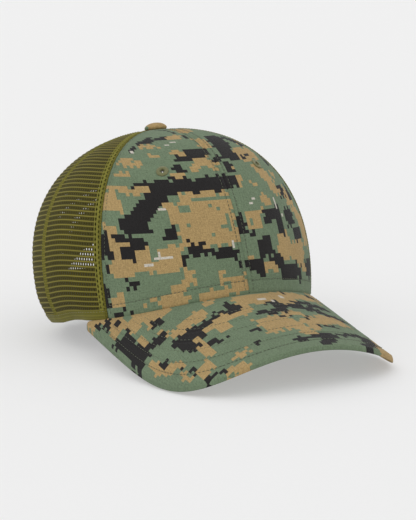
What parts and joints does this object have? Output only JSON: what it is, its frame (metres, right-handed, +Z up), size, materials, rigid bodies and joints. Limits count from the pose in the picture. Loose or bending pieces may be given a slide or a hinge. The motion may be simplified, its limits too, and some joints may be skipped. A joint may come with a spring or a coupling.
{
  "type": "trucker mesh cap",
  "caption": "Trucker cap with camouflage front panels and curved visor, olive mesh sides and back, covered top button, sweatband and a snap strap closure at the back.",
  "frame": {"origin": "middle of the footprint, on the surface the cap rests on", "axes": "+Z up with the cap resting on its rear hem and the two visor corners, -Y towards the visor, +X to the wearer's left"},
  "size_m": [0.185, 0.2746, 0.1418],
  "materials": {
    "camo_cloth": "woven cotton twill printed with a block camouflage in green, tan and near-black",
    "olive_mesh": "open knitted polyester mesh, olive",
    "buckram": "stiff open-weave buckram",
    "olive_tape": "woven polyester tape, olive",
    "sweatband_cloth": "brushed cotton sweatband, very dark olive",
    "visor_plastic": "polyethylene visor board",
    "under_cloth": "plain olive twill",
    "strap_plastic": "moulded olive polyethylene, satin",
    "rivet_metal": "plated steel",
    "eyelet_thread": "olive embroidery thread, satin stitch"
  },
  "bodies": {
    "cap": {"front_panel_left": "camo_cloth", "front_panel_right": "camo_cloth", "side_mesh_left": "olive_mesh", "side_mesh_right": "olive_mesh", "rear_mesh_left": "olive_mesh", "rear_mesh_right": "olive_mesh", "front_backing_left": "buckram", "front_backing_right": "buckram", "visor_board": "visor_plastic", "visor_upper_cover": "camo_cloth", "visor_under_cover": "under_cloth", "sweatband": "sweatband_cloth", "seam_tape_front": "olive_tape", "seam_tape_front_side_left": "olive_tape", "seam_tape_front_side_right": "olive_tape", "seam_tape_side_rear_left": "olive_tape", "seam_tape_side_rear_right": "olive_tape", "seam_tape_rear": "olive_tape", "top_button": "camo_cloth", "button_rivet": "rivet_metal", "eyelet_left": "eyelet_thread", "eyelet_right": "eyelet_thread", "hem_binding_left": "olive_tape", "hem_binding_right": "olive_tape", "opening_binding": "olive_tape", "hole_strap_tab": "strap_plastic", "peg_strap_tab": "strap_plastic"},
    "hole_strap": {"hole_strap": "strap_plastic"},
    "peg_strap": {"peg_strap": "strap_plastic"}
  },
  "joints": [
    {"name": "hole_strap_peel", "type": "hinge", "parent": "cap", "child": "hole_strap", "pos_m": [0.04499, 0.10865, 0.01391], "axis": [0, -0.1946, -0.9809], "range_deg": [0, 60], "stiffness_Nm_per_rad": 0.01},
    {"name": "peg_strap_flex", "type": "hinge", "parent": "cap", "child": "peg_strap", "pos_m": [-0.04446, 0.10727, 0.01418], "axis": [0, -0.1946, -0.9809], "range_deg": [0, 60], "stiffness_Nm_per_rad": 0.01}
  ]
}
